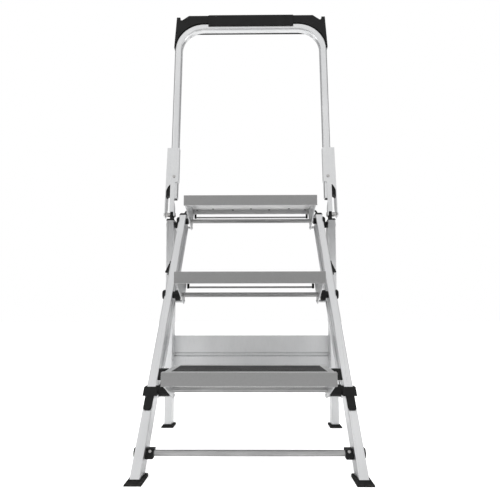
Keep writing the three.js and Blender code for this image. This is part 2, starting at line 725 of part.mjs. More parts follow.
// A shoulder pin through the inner lug, the tongue and the outer flange.
function handrailPin() {
  const lugX = TONGUE.innerX - 4;
  const { outerX, sheet } = BRACKET;
  const headRadius = 7;
  const flangeFace = outerX - sheet - GAP;
  return solid(steppedPin([
    [lugX - 3, lugX - GAP, headRadius],
    [lugX - GAP, TONGUE.outerX + 0.5, HANDRAIL_PIN_RADIUS],
    [TONGUE.outerX + 0.5, flangeFace, headRadius],
    [flangeFace, outerX + GAP, HANDRAIL_PIN_RADIUS],
    [outerX + GAP, outerX + 3.5, headRadius],
  ], 0, 0));
}

// The tray's outline from the front, above a lower edge that follows the tube at a given
// distance from its middle line.
function trayOutline(offset) {
  const { x, topZ, bend } = TUBE;
  const radius = bend + offset;
  const sideX = x + TUBE.width / 2 + 2.5;
  const centre = { x: x - bend, z: topZ - bend };
  const outline = new THREE.Shape();
  const half = [
    [sideX, centre.z + 6], [sideX - 6, TRAY.top - 6], [sideX - 18, TRAY.top - 6],
    [sideX - 20, TRAY.top - 17], [sideX - 25, TRAY.top - 17], [sideX - 48, TRAY.top],
  ];
  outline.moveTo(-half[0][0], half[0][1]);
  half.slice(1).forEach(([px, pz]) => outline.lineTo(-px, pz));
  half.toReversed().forEach(([px, pz]) => outline.lineTo(px, pz));
  outline.absarc(centre.x, centre.z, radius, 0.07, Math.PI / 2, false);
  outline.absarc(-centre.x, centre.z, radius, Math.PI / 2, Math.PI - 0.07, false);
  return outline;
}

// A cap over the handrail's top bar, with an open bin behind the bar.
function toolTray() {
  const clear = TUBE.width / 2 + 0.6;
  const tubeFront = -TUBE.depth / 2;
  const tubeBack = TUBE.depth / 2 + 0.6;
  const { top, backY, binBottom, binHalf, wall, frontLap, lapHalf } = TRAY;
  const overTube = solid(panel(trayOutline(clear), tubeFront - 1, tubeBack + wall));
  const behindBar = solid(box(-binHalf, binHalf, tubeBack, backY, binBottom, top));
  const lapZ = TUBE.topZ + TUBE.width / 2 - 11.5;
  const lap = solid(box(-lapHalf, lapHalf, tubeFront - frontLap, tubeFront - 0.6, lapZ, top));
  const innerHalf = binHalf - wall;
  const above = top + 10;
  const bin = solid(box(-innerHalf, innerHalf, tubeBack + wall, backY - wall, binBottom + wall, above));
  const shelf = solid(box(-innerHalf, innerHalf, tubeFront + 3, tubeBack, top - 12, above));
  return cut(joined(overTube, behindBar, lap), bin, shelf);
}

// ---- Assembly ----

function place(parent, name, geometry, material) {
  const mesh = new THREE.Mesh(geometry, material);
  mesh.name = name;
  parent.add(mesh);
}

function placeOne(parent, name, body, material) {
  place(parent, name, geometryOf(body), material);
}

function placePair(parent, name, rightBody, material) {
  const right = geometryOf(rightBody);
  place(parent, `${name}_right`, right, material);
  place(parent, `${name}_left`, mirrored(right), material);
}

function frontFrame() {
  const frame = new THREE.Group();
  const { aluminium, steel, plastic, rubber } = MATERIALS;
  placePair(frame, 'front_rail', frontRail(), aluminium);
  placePair(frame, 'front_foot', frontFoot(), rubber);
  placePair(frame, 'front_rail_cap', frontRailCap(), plastic);
  placeOne(frame, 'lower_cross_rod', lowerRod(), aluminium);
  placePair(frame, 'lower_rod_block', lowerRodBlock(), plastic);
  placePair(frame, 'lower_rod_cap', lowerRodCap(), plastic);
  placePair(frame, 'step_rest', stepRest(), plastic);
  placePair(frame, 'rail_guide', railGuide(), plastic);
  placePair(frame, 'main_hinge_bolt', mainHingeBolt(), steel);
  for (const step of steps) {
    placeOne(frame, `pivot_rod_${step}`, pivotRod(step), aluminium);
    placePair(frame, `step_bracket_${step}`, stepBracket(step), plastic);
    if (step > 1) placePair(frame, `pivot_cap_${step}`, pivotCap(step), plastic);
  }
  return frame;
}

function tread(step) {
  const group = new THREE.Group();
  const name = ['bottom', 'middle', 'platform'][step - 1];
  placeOne(group, `${name}_deck`, treadDeck(), MATERIALS.brushed);
  placeOne(group, `${name}_mat`, treadMat(), MATERIALS.mat);
  placePair(group, `${name}_side_plate`, sidePlate(), MATERIALS.aluminium);
  group.position.set(0, lipY(step), treadZ(step));
  return group;
}

function rearFrame() {
  const frame = new THREE.Group();
  placePair(frame, 'rear_rail', rearRail(), MATERIALS.aluminium);
  placePair(frame, 'rear_foot', rearFoot(), MATERIALS.rubber);
  placePair(frame, 'rear_rail_cap', rearRailCap(), MATERIALS.plastic);
  placeOne(frame, 'rear_panel', rearPanel(), MATERIALS.aluminium);
  return frame;
}

function handrail() {
  const rail = new THREE.Group();
  placeOne(rail, 'handrail_tube', handrailTube(), MATERIALS.aluminium);
  placePair(rail, 'bracket_block', bracketBlock(), MATERIALS.plastic);
  placePair(rail, 'handrail_bracket', handrailBracket(), MATERIALS.aluminium);
  placePair(rail, 'handrail_pin', handrailPin(), MATERIALS.steel);
  placeOne(rail, 'tool_tray', toolTray(), MATERIALS.plastic);
  rail.position.set(0, HANDRAIL_PIVOT.y, HANDRAIL_PIVOT.z);
  rail.rotation.x = -HANDRAIL_LEAN;
  return rail;
}

const ladder = new THREE.Group();
ladder.add(frontFrame());
steps.forEach((step) => ladder.add(tread(step)));
placePair(ladder, 'tie_bar', tieBar(), MATERIALS.aluminium);
ladder.add(rearFrame());
ladder.add(handrail());
ladder.position.y = -OVERALL_DEPTH / 2;

const group = new THREE.Group();
group.add(ladder);

export default group;
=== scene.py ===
"""Looks for the platform step ladder: aluminium profiles, brushed treads, black mouldings."""

import json
import math

import bmesh
import bpy
from mathutils import Matrix, Vector
from mathutils.bvhtree import BVHTree


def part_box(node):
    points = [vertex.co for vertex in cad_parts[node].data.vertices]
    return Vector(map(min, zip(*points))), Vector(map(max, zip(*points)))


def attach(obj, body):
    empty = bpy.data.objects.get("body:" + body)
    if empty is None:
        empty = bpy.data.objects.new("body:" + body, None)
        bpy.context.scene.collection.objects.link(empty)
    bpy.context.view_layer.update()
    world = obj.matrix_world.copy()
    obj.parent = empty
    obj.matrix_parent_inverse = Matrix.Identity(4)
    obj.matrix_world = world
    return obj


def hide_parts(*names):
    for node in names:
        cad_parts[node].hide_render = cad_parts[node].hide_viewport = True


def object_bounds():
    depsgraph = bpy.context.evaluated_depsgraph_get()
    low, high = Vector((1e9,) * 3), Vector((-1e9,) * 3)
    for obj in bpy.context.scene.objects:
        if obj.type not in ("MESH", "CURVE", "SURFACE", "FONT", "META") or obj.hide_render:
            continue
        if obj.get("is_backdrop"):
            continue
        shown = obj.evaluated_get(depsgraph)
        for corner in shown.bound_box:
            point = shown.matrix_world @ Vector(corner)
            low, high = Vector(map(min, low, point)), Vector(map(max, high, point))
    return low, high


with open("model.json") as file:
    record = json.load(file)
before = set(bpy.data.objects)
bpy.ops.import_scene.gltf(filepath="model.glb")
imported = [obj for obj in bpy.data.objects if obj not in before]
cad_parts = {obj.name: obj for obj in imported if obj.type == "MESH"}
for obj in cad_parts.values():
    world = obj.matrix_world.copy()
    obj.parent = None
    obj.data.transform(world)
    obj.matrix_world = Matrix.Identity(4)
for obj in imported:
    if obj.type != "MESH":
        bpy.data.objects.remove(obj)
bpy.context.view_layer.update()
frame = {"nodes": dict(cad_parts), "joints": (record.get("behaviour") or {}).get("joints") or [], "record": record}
scene = bpy.context.scene
scene.view_settings.view_transform = "Standard"

MM = 0.001
SIDES = {"right": 1, "left": -1}
TREADS = {"bottom": "bottom_step", "middle": "middle_step", "platform": "platform"}
NODE_BODY = {
    node: body
    for body, nodes in frame["record"]["behaviour"]["bodies"].items()
    for node in nodes
}
JOINT_AT = {j["name"]: Vector(j["pos_m"]) for j in frame["joints"]}


# ---- Camera ----

CAMERA_PLACE = (0.0166, -1.536, 0.357)
CAMERA_LENS = 38.05
TURN_LEFT, TILT_UP, ROLL = 0.0117, 0.1306, -0.001  # radians


def make_camera():
    """In front, between the heights of the two lower treads, tilted up a little."""
    camera = bpy.data.objects.new("camera", bpy.data.cameras.new("camera"))
    scene.collection.objects.link(camera)
    camera.location = CAMERA_PLACE
    turn = Matrix.Rotation(TURN_LEFT, 3, "Z")
    level = Matrix.Rotation(math.pi / 2 + TILT_UP, 3, "X")
    roll = Matrix.Rotation(ROLL, 3, "Z")
    camera.rotation_euler = (turn @ level @ roll).to_euler()
    camera.data.sensor_width = 36
    camera.data.lens = CAMERA_LENS
    scene.camera = camera


# ---- Materials ----


class Recipe:
    """Short calls that build one material's node tree around its Principled shader."""

    def __init__(self, name, metallic=0.0):
        self.material = bpy.data.materials.new(name)
        self.material.use_nodes = True
        self.tree = self.material.node_tree
        self.shader = self.tree.nodes["Principled BSDF"]
        self.shader.inputs["Metallic"].default_value = metallic
        self.coords = self.add("ShaderNodeTexCoord").outputs["Object"]

    def add(self, kind, **settings):
        node = self.tree.nodes.new(kind)
        for key, value in settings.items():
            setattr(node, key, value)
        return node

    def put(self, value, socket):
        """A number, a colour or another node's output goes into a socket."""
        if isinstance(value, bpy.types.NodeSocket):
            self.tree.links.new(value, socket)
        else:
            socket.default_value = value

    def turned(self, tilt):
        """Object coordinates turned about X, so that their Z runs along a leaning rail."""
        mapping = self.add("ShaderNodeMapping")
        self.put(self.coords, mapping.inputs["Vector"])
        mapping.inputs["Rotation"].default_value = (tilt, 0, 0)
        return mapping.outputs["Vector"]

    def noise(self, scale, detail=3.0, rough=0.55, coords=None):
        """Noise with its own number of lumps per metre along each axis."""
        mapping = self.add("ShaderNodeMapping")
        self.put(coords or self.coords, mapping.inputs["Vector"])
        mapping.inputs["Scale"].default_value = scale
        noise = self.add("ShaderNodeTexNoise")
        self.put(mapping.outputs["Vector"], noise.inputs["Vector"])
        noise.inputs["Scale"].default_value = 1.0
        noise.inputs["Detail"].default_value = detail
        noise.inputs["Roughness"].default_value = rough
        return noise.outputs["Fac"]

    def span(self, value, low, high, out_low=0.0, out_high=1.0):
        """Maps one range of numbers to another."""
        node = self.add("ShaderNodeMapRange")
        self.put(value, node.inputs["Value"])
        for key, number in zip(
            ("From Min", "From Max", "To Min", "To Max"), (low, high, out_low, out_high)
        ):
            node.inputs[key].default_value = number
        return node.outputs["Result"]

    def maths(self, operation, first, second):
        node = self.add("ShaderNodeMath", operation=operation)
        node.use_clamp = operation == "ADD"
        self.put(first, node.inputs[0])
        self.put(second, node.inputs[1])
        return node.outputs[0]

    def mix(self, share, first, second):
        node = self.add("ShaderNodeMix", data_type="RGBA")
        self.put(share, node.inputs["Factor"])
        self.put(first, node.inputs["A"])
        self.put(second, node.inputs["B"])
        return node.outputs["Result"]

    def marked(self, name):
        """A number stored on the mesh's faces."""
        return self.add("ShaderNodeAttribute", attribute_name=name).outputs["Fac"]

    def wear(self, breakup, low=0.42, high=0.62):
        """The share of worn surface: the rounded edges, broken up by noise."""
        return self.maths(
            "MULTIPLY", self.marked("wear"), self.span(breakup, low, high)
        )

    def bump(self, *layers):
        """Stacks height layers, each (height, distance in metres, strength)."""
        normal = None
        for height, distance, strength in layers:
            node = self.add("ShaderNodeBump")
            self.put(height, node.inputs["Height"])
            node.inputs["Distance"].default_value = distance
            node.inputs["Strength"].default_value = strength
            if normal is not None:
                self.put(normal, node.inputs["Normal"])
            normal = node.outputs["Normal"]
        self.put(normal, self.shader.inputs["Normal"])

    def finish(self, colour, roughness):
        self.put(colour, self.shader.inputs["Base Color"])
        self.put(roughness, self.shader.inputs["Roughness"])
        return self.material


def grey(level, warmth=0.0):
    return (level * (1 + warmth), level, level * (1 - warmth), 1.0)


def drawn_aluminium(name, tilt, light, dark, rough=0.3):
    """Satin extruded aluminium: die lines along the profile over a faint cloudiness."""
    recipe = Recipe(name, metallic=1.0)
    along = recipe.turned(tilt)
    fine = recipe.noise((1100, 1100, 6), detail=2, coords=along)
    broad = recipe.noise((160, 160, 1.5), detail=3, coords=along)
    cloud = recipe.noise((9, 9, 5), detail=4, coords=along)
    lines = recipe.maths("MULTIPLY", recipe.maths("ADD", fine, broad), 0.5)
    tone = recipe.span(recipe.maths("MULTIPLY", lines, cloud), 0.12, 0.4)
    wear = recipe.wear(recipe.noise((260, 260, 90), detail=4, coords=along))
    colour = recipe.mix(tone, grey(dark, -0.01), grey(light, -0.006))
    colour = recipe.mix(wear, colour, grey(min(light * 1.12, 0.95)))
    roughness = recipe.span(lines, 0.3, 0.7, rough - 0.06, rough + 0.12)
    recipe.bump((broad, 0.0002, 0.12), (fine, 0.00006, 0.25))
    return recipe.finish(colour, roughness)


def tread_aluminium():
    """Sheet with grain along the tread: bright mill finish, with a darker etched grey on the lip, rear flange and
    bar as painted shade.
    """
    recipe = Recipe("tread_brushed", metallic=1.0)
    grain = recipe.noise((14, 1000, 1000), detail=3)
    mottle = recipe.noise((250, 250, 250), detail=5, rough=0.7)
    cloud = recipe.noise((22, 22, 40), detail=4)
    blend = recipe.maths(
        "MULTIPLY", recipe.maths("ADD", grain, recipe.maths("ADD", mottle, cloud)), 0.34
    )
    wear = recipe.wear(recipe.noise((90, 300, 300), detail=4), 0.2, 0.4)
    # Painted shade: the darker grey that the lip, rear flange and bar take instead of the bright finish.
    shaded_etch = recipe.mix(recipe.span(blend, 0.42, 0.58), grey(0.41), grey(0.66))
    bright = recipe.mix(recipe.span(grain, 0.35, 0.65), grey(0.72), grey(0.88))
    unshaded_mill = recipe.marked("unshaded_mill")
    colour = recipe.mix(unshaded_mill, shaded_etch, bright)
    colour = recipe.mix(wear, colour, grey(0.86))
    smoother = recipe.maths("MULTIPLY", unshaded_mill, -0.16)
    roughness = recipe.span(mottle, 0.3, 0.7, 0.46, 0.62)
    roughness = recipe.maths("ADD", roughness, smoother)
    recipe.bump((mottle, 0.00012, 0.35), (grain, 0.00006, 0.3))
    return recipe.finish(colour, roughness)


def rod_aluminium():
    """Round rod: polished lengthwise, with faint turning marks."""
    recipe = Recipe("rod_satin", metallic=1.0)
    streak = recipe.noise((9, 900, 900), detail=2)
    turned = recipe.noise((1400, 30, 30), detail=2)
    cloud = recipe.noise((12, 40, 40), detail=3)
    tone = recipe.span(recipe.maths("MULTIPLY", streak, cloud), 0.12, 0.4)
    colour = recipe.mix(tone, grey(0.4), grey(0.54))
    colour = recipe.mix(recipe.wear(cloud), colour, grey(0.7))
    recipe.bump((streak, 0.00005, 0.3), (turned, 0.00003, 0.2))
    return recipe.finish(colour, recipe.span(streak, 0.3, 0.7, 0.26, 0.4))


def pin_steel():
    """Zinc-plated steel: bright, with a faint crystalline mottle."""
    recipe = Recipe("pin_zinc", metallic=1.0)
    mottle = recipe.noise((700, 700, 700), detail=5, rough=0.65)
    turned = recipe.noise((2200, 120, 120), detail=1)
    tone = recipe.span(mottle, 0.35, 0.65)
    colour = recipe.mix(tone, grey(0.5, 0.02), grey(0.68, 0.01))
    colour = recipe.mix(recipe.wear(mottle), colour, grey(0.85))
    recipe.bump((mottle, 0.00005, 0.3), (turned, 0.00003, 0.3))
    return recipe.finish(colour, recipe.span(mottle, 0.3, 0.7, 0.22, 0.42))


def moulded_plastic():
    """Black glass-filled nylon: a spark-eroded grain, flow clouding and scuffed edges."""
    recipe = Recipe("plastic_moulded")
    grain = recipe.noise((1500, 1500, 1500), detail=2, rough=0.6)
    cloud = recipe.noise((28, 28, 28), detail=4)
    scuff = recipe.noise((60, 420, 140), detail=5, rough=0.7)
    colour = recipe.mix(recipe.span(cloud, 0.35, 0.65), grey(0.006), grey(0.010, -0.02))
    colour = recipe.mix(recipe.span(scuff, 0.66, 0.8, 0.0, 0.4), colour, grey(0.025))
    colour = recipe.mix(recipe.wear(scuff, 0.5, 0.66), colour, grey(0.05))
    roughness = recipe.span(cloud, 0.3, 0.7, 0.42, 0.56)
    roughness = recipe.maths("ADD", roughness, recipe.span(grain, 0.3, 0.7, 0.0, 0.08))
    recipe.bump((grain, 0.00009, 0.4), (cloud, 0.0004, 0.1))
    recipe.shader.inputs["Specular IOR Level"].default_value = 0.2
    return recipe.finish(colour, roughness)


def foot_rubber():
    """Black rubber, dull, with dust that gathers low down."""
    recipe = Recipe("rubber_foot")
    grain = recipe.noise((900, 900, 900), detail=3, rough=0.6)
    dust = recipe.noise((150, 150, 150), detail=5, rough=0.65)
    height = recipe.add("ShaderNodeSeparateXYZ")
    recipe.put(recipe.coords, height.inputs[0])
    low_down = recipe.span(height.outputs["Z"], 0.012, 0.0, 0.0, 0.7)
    share = recipe.maths("MULTIPLY", low_down, recipe.span(dust, 0.4, 0.65))
    colour = recipe.mix(recipe.span(grain, 0.3, 0.7), grey(0.006), grey(0.011))
    colour = recipe.mix(share, colour, grey(0.04, 0.06))
    colour = recipe.mix(recipe.wear(dust), colour, grey(0.035))
    recipe.bump((grain, 0.00014, 0.5))
    recipe.shader.inputs["Specular IOR Level"].default_value = 0.18
    return recipe.finish(colour, recipe.span(dust, 0.3, 0.7, 0.72, 0.9))


def tread_mat():
    """Ribbed anti-slip mat: dark vinyl with grit set in it."""
    recipe = Recipe("mat_grit")
    grit = recipe.noise((650, 650, 650), detail=4, rough=0.75)
    speck = recipe.noise((1500, 1500, 1500), detail=1)
    cloud = recipe.noise((16, 30, 30), detail=4)
    colour = recipe.mix(recipe.span(cloud, 0.35, 0.65), grey(0.022), grey(0.04, -0.02))
    colour = recipe.mix(recipe.span(speck, 0.62, 0.72, 0.0, 0.8), colour, grey(0.16))
    colour = recipe.mix(recipe.wear(grit), colour, grey(0.11))
    recipe.bump((grit, 0.0005, 0.7))
    return recipe.finish(colour, recipe.span(grit, 0.3, 0.7, 0.7, 0.9))


def lean_of(joint_from, joint_to):
    """The tilt about X that carries Z onto the line from one joint to another."""
    line = JOINT_AT[joint_to] - JOINT_AT[joint_from]
    return math.atan2(line.y, line.z)


HANDRAIL_LEAN = math.radians(5.4)
FRONT_TILT = lean_of("bottom_step_fold", "platform_fold")


def rear_tilt():
    """The rear rails' tilt, from their box: they lean forward from the floor to the top."""
    low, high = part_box("rear_rail_right")
    depth_of_section = 60 * MM
    return -math.atan2(high.y - low.y - depth_of_section, high.z - low.z)


MATERIALS = {
    "front": drawn_aluminium("aluminium_front", FRONT_TILT, 0.86, 0.74),
    "rear": drawn_aluminium("aluminium_rear", rear_tilt(), 0.86, 0.74),
    "upright": drawn_aluminium("aluminium_upright", HANDRAIL_LEAN, 0.92, 0.8),
    "across": drawn_aluminium("aluminium_sheet", 0.0, 0.76, 0.64, rough=0.36),
    "tread": tread_aluminium(),
    "rod": rod_aluminium(),
    "steel": pin_steel(),
    "plastic": moulded_plastic(),
    "rubber": foot_rubber(),
    "mat": tread_mat(),
}


# ---- Mesh helpers ----

SEATED = 0.2 * MM  # how far a rivet's or screw's head reaches into its surface
WELD = 2e-5  # CAD corners nearer than this are one corner


def round_edges(bm, width, segments=2, min_angle=32.0):
    """Rounds the sharp edges and marks the rounded strips, where wear shows."""
    wear = bm.faces.layers.float.new("wear")
    sharp = [
        e
        for e in bm.edges
        if len(e.link_faces) == 2 and e.calc_face_angle(0.0) > math.radians(min_angle)
    ]
    if width > 0 and sharp:
        made = bmesh.ops.bevel(
            bm,
            geom=sharp,
            offset=width,
            offset_type="OFFSET",
            segments=segments,
            profile=0.5,
            affect="EDGES",
            clamp_overlap=True,
        )
        for face in made["faces"]:
            face[wear] = 1.0


def as_piece(name, bm, material, body, creases=50.0):
    """Turns a bmesh into a shaded piece that rides on a body."""
    if bm.faces.layers.float.get("wear") is None:
        bm.faces.layers.float.new("wear")
    for face in bm.faces:
        face.smooth = True
    for edge in bm.edges:
        edge.smooth = len(edge.link_faces) == 2 and (
            edge.calc_face_angle(0.0) < math.radians(creases)
        )
    mesh = bpy.data.meshes.new(name)
    bm.to_mesh(mesh)
    bm.free()
    mesh.materials.append(MATERIALS[material])
    piece = bpy.data.objects.new(name, mesh)
    scene.collection.objects.link(piece)
    normals = piece.modifiers.new("normals", "WEIGHTED_NORMAL")
    normals.keep_sharp = True
    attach(piece, body)
    return piece


def cad_copy(node):
    """A CAD node's mesh with its flat areas made whole again."""
    bm = bmesh.new()
    bm.from_mesh(frame["nodes"][node].data)
    bmesh.ops.remove_doubles(bm, verts=bm.verts, dist=WELD)
    bmesh.ops.dissolve_limit(
        bm, angle_limit=math.radians(0.4), verts=bm.verts, edges=bm.edges
    )
    return bm


def mark_painted_shade(bm, node):
    """Marks painted shade: all of a deck is bright but its thin bar and the outer faces of lip and rear flange,
    which take a darker grey.
    """
    unshaded_mill = bm.faces.layers.float.new("unshaded_mill")
    low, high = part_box(node)
    skin, bar_drop, half_depth = 3.5 * MM, 24 * MM, 100 * MM
    bm.normal_update()
    for face in bm.faces:
        middle = face.calc_center_median()
        lip = face.normal.y < -0.4 and middle.y < low.y + skin
        flange = face.normal.y > 0.4 and middle.y > high.y - skin
        bar = middle.z < high.z - bar_drop and middle.y > low.y + half_depth
        # 0 is the painted-shade grey, 1 the bright finish.
        face[unshaded_mill] = 0.0 if lip or flange or bar else 1.0


def refined(node, suffix, material, width, segments=2):
    """Stands a finely edged copy in for a CAD node."""
    bm = cad_copy(node)
    round_edges(bm, width * MM, segments)
    if node.endswith("_deck"):
        mark_painted_shade(bm, node)
    piece = as_piece(f"{node}_{suffix}", bm, material, NODE_BODY[node])
    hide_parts(node)
    return piece


def lathed(profile, sides=28):
    """A turned shape about +Z from (radius, height) pairs; it is closed at radius 0."""
    bm = bmesh.new()
    rings = []
    for radius, height in profile:
        if radius == 0:
            rings.append([bm.verts.new((0, 0, height))])
            continue
        turn = [2 * math.pi * i / sides for i in range(sides)]
        rings.append(
            [
                bm.verts.new((radius * math.cos(a), radius * math.sin(a), height))
                for a in turn
            ]
        )
    for low, high in zip(rings, rings[1:]):
        for i in range(sides):
            j = (i + 1) % sides
            corners = [low[i % len(low)], low[j % len(low)]]
            corners += [high[j % len(high)], high[i % len(high)]]
            corners = list(dict.fromkeys(corners))
            if len(corners) > 2:
                bm.faces.new(corners)
    bmesh.ops.recalc_face_normals(bm, faces=bm.faces)
    return bm


def prism(outline, x0, x1):
    """A solid between two places along X, from a closed outline of (y, z) points."""
    bm = bmesh.new()
    rings = [[bm.verts.new((x, y, z)) for y, z in outline] for x in (x0, x1)]
    count = len(outline)
    for i in range(count):
        j = (i + 1) % count
        bm.faces.new((rings[0][i], rings[0][j], rings[1][j], rings[1][i]))
    for ring in rings:
        bm.faces.new(ring)
    bmesh.ops.recalc_face_normals(bm, faces=bm.faces)
    return bm


def aimed(bm, point, direction):
    """Moves a shape made about +Z so that it stands at a point, facing a direction."""
    turn = Vector(direction).to_track_quat("Z", "Y").to_matrix().to_4x4()
    bm.transform(Matrix.Translation(point) @ turn)
    return bm


def struck(node, start, direction):
    """Where a straight line first meets a CAD node, and how that surface faces."""
    mesh = frame["nodes"][node].data
    tree = BVHTree.FromPolygons(
        [v.co for v in mesh.vertices], [p.vertices for p in mesh.polygons]
    )
    point, normal, _, _ = tree.ray_cast(Vector(start), Vector(direction))
    if point is None:
        raise ValueError(f"{node} isn't on the line from {start}")
    facing = normal if normal.dot(Vector(direction)) < 0 else -normal
    return point, facing


def rivet(name, node, start, direction, radius, material="steel", slot="pin_steel"):
    """A domed rivet head on the surface of a node that a line meets."""
    point, facing = struck(node, start, direction)
    height = radius * 0.45
    profile = [(radius, -SEATED), (radius, height * 0.25)]
    for i in range(1, 6):
        angle = math.pi / 2 * i / 6
        share = math.sin(angle)
        profile.append((radius * math.cos(angle), height * (0.25 + 0.75 * share)))
    profile.append((0, height))
    bm = lathed(profile, sides=20)
    as_piece(name, aimed(bm, point, facing), material, NODE_BODY[node])


def machine_screw(name, node, start, direction, radius):
    """A pan-head screw with a round socket, on the surface that a line meets."""
    point, facing = struck(node, start, direction)
    socket = radius * 0.5
    profile = [
        (radius, -SEATED),
        (radius, radius * 0.35),
        (radius * 0.9, radius * 0.52),
        (radius * 0.62, radius * 0.6),
        (socket, radius * 0.6),
        (socket * 0.96, radius * 0.15),
        (0, radius * 0.1),
    ]
    bm = aimed(lathed(profile, sides=24), point, facing)
    as_piece(name, bm, "steel", NODE_BODY[node], creases=35)


# ---- Pieces made afresh ----


def rounded_section(half_x, half_y, corner, corner_steps=6):
    """A rounded rectangle's points, counter-clockwise."""
    points = []
    for quarter, (sx, sy) in enumerate(((1, 1), (-1, 1), (-1, -1), (1, -1))):
        for i in range(corner_steps + 1):
            angle = math.pi / 2 * (quarter + i / corner_steps)
            x = sx * (half_x - corner) + corner * math.cos(angle)
            y = sy * (half_y - corner) + corner * math.sin(angle)
            points.append((x, y))
    return points


def handrail_line(across, low_z, top_z, bend, bend_steps=26):
    """Points and directions up the left leg, across the top and down the right leg."""
    path = [(Vector((-across, 0, low_z)), Vector((0, 0, 1)))]
    for side in (-1, 1):
        for i in range(bend_steps + 1):
            share = i / bend_steps if side < 0 else 1 - i / bend_steps
            angle = share * math.pi / 2
            x = side * (across - bend + bend * math.cos(angle))
            point = Vector((x, 0, top_z - bend + bend * math.sin(angle)))
            along = Vector((math.sin(angle), 0, -side * math.cos(angle)))
            path.append((point, along))
    path.append((Vector((across, 0, low_z)), Vector((0, 0, -1))))
    return path


def swept_shell(path, outer, inner):
    """A hollow tube: two sections swept along one path and joined at its open ends."""
    bm = bmesh.new()
    walls = []
    for section in (outer, inner):
        rings = []
        for point, along in path:
            depth = Vector((0, 1, 0))
            width = depth.cross(along)
            rings.append(
                [bm.verts.new(point + width * x + depth * y) for x, y in section]
            )
        walls.append(rings)
    count = len(outer)
    for rings in walls:
        for low, high in zip(rings, rings[1:]):
            for i in range(count):
                j = (i + 1) % count
                bm.faces.new((low[i], low[j], high[j], high[i]))
    for end in (0, -1):
        for i in range(count):
            j = (i + 1) % count
            first, second = walls[0][end], walls[1][end]
            bm.faces.new((first[i], first[j], second[j], second[i]))
    bmesh.ops.recalc_face_normals(bm, faces=bm.faces)
    return bm


def handrail_place():
    """From the handrail's own frame, upright at its pivot, to where it leans."""
    lean = Matrix.Rotation(-HANDRAIL_LEAN, 4, "X")
    return Matrix.Translation(JOINT_AT["handrail_fold"]) @ lean


def handrail_tube():
    """The bent tube with true arcs and round corners, between the CAD tube's own limits."""
    _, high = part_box("handrail_tube")
    half_width, half_depth, wall, corner = 12.5 * MM, 13 * MM, 2 * MM, 7 * MM
    low_z, top_z, bend = 52 * MM, 677 * MM, 87.5 * MM
    across = high.x - half_width
    path = handrail_line(across, low_z, top_z, bend)
    outer = rounded_section(half_width, half_depth, corner)
    inner = rounded_section(half_width - wall, half_depth - wall, corner - wall)
    bm = swept_shell(path, outer, inner)
    bm.transform(handrail_place())
    piece = as_piece(
        "handrail_tube_bent", bm, "upright", "handrail"
    )
    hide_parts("handrail_tube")


RIB = (
    # (share of the pitch, share of the height)
    (0.06, 0.0),
    (0.16, 0.75),
    (0.26, 1.0),
    (0.66, 1.0),
    (0.76, 0.75),
    (0.86, 0.0),
)


def ribbed_mat(tread, body):
    """A mat with round ribs that run along the tread, in the CAD mat's space."""
    node = f"{tread}_mat"
    low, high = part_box(node)
    rib_pitch, rib_height = 6.4 * MM, 0.9 * MM
    count = round((high.y - low.y) / rib_pitch)
    pitch = (high.y - low.y) / count
    section = [(low.y, low.z)]
    for i in range(count):
        start = low.y + i * pitch
        valley = high.z - rib_height
        for share, rise in RIB:
            section.append((start + share * pitch, valley + rise * rib_height))
    section.append((high.y, low.z))
    bm = prism(section, low.x, high.x)
    piece = as_piece(
        f"{tread}_mat_ribbed", bm, "mat", body, creases=70
    )
    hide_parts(node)


GRIP_GROOVES = 12
GRIP_DEPTH = 0.035  # as a share of the radius


def hinge_collar(side, sign):
    """A black knurled spacer between the front and the rear rail, round the hinge bolt."""
    node = f"main_hinge_bolt_{side}"
    centre = JOINT_AT["rear_frame_fold"]
    beside_bolt, gap = 20 * MM, 0.6 * MM
    outside = centre + Vector((sign, beside_bolt, 0))
    middle = centre + Vector((0, beside_bolt, 0))
    front, _ = struck(f"front_rail_{side}", outside, (-sign, 0, 0))
    rear, _ = struck(f"rear_rail_{side}", middle, (sign, 0, 0))
    x0, x1 = abs(front.x) + gap, abs(rear.x) - gap
    radius, bore, chamfer = 10.2 * MM, 6 * MM, 1.2 * MM
    length = x1 - x0
    profile = [
        (bore, 0),
        (radius - chamfer, 0),
        (radius, chamfer),
        (radius, length - chamfer),
        (radius - chamfer, length),
        (bore, length),
        (bore, 0),
    ]
    bm = lathed(profile, sides=48)
    for vert in bm.verts:
        spoke = math.atan2(vert.co.y, vert.co.x)
        reach = math.hypot(vert.co.x, vert.co.y)
        if reach > radius - chamfer / 2:
            groove = 0.5 + 0.5 * math.cos(GRIP_GROOVES * spoke)
            scale = 1 - GRIP_DEPTH * groove
            vert.co.x *= scale
            vert.co.y *= scale
    bm = aimed(bm, Vector((sign * x0, centre.y, centre.z)), (sign, 0, 0))
    as_piece(
        f"hinge_collar_{side}", bm, "plastic", NODE_BODY[node], 40
    )


CLIP_OUTLINE = (
    # (y, z) in mm about the middle of the bar
    (-4, -1.5),
    (-2.4, -3.6),
    (2.4, -3.6),
    (4, -1.5),
    (4, 13),
    (-4, 10),
)


def bar_clips(tread, body):
    """Black hooks that hold the ends of the thin bar under a tread's back edge."""
    _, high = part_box(f"{tread}_deck")
    bar_y = high.y - 8 * MM
    bar_z = high.z - 29 * MM
    outline = [(bar_y + y * MM, bar_z + z * MM) for y, z in CLIP_OUTLINE]
    inner_x, outer_x = 180.8 * MM, 187.1 * MM
    for side, sign in SIDES.items():
        bm = prism(outline, sign * inner_x, sign * outer_x)
        round_edges(bm, 0.6 * MM)
        as_piece(f"{tread}_bar_clip_{side}", bm, "plastic", body)


# ---- Which finish each CAD node takes ----

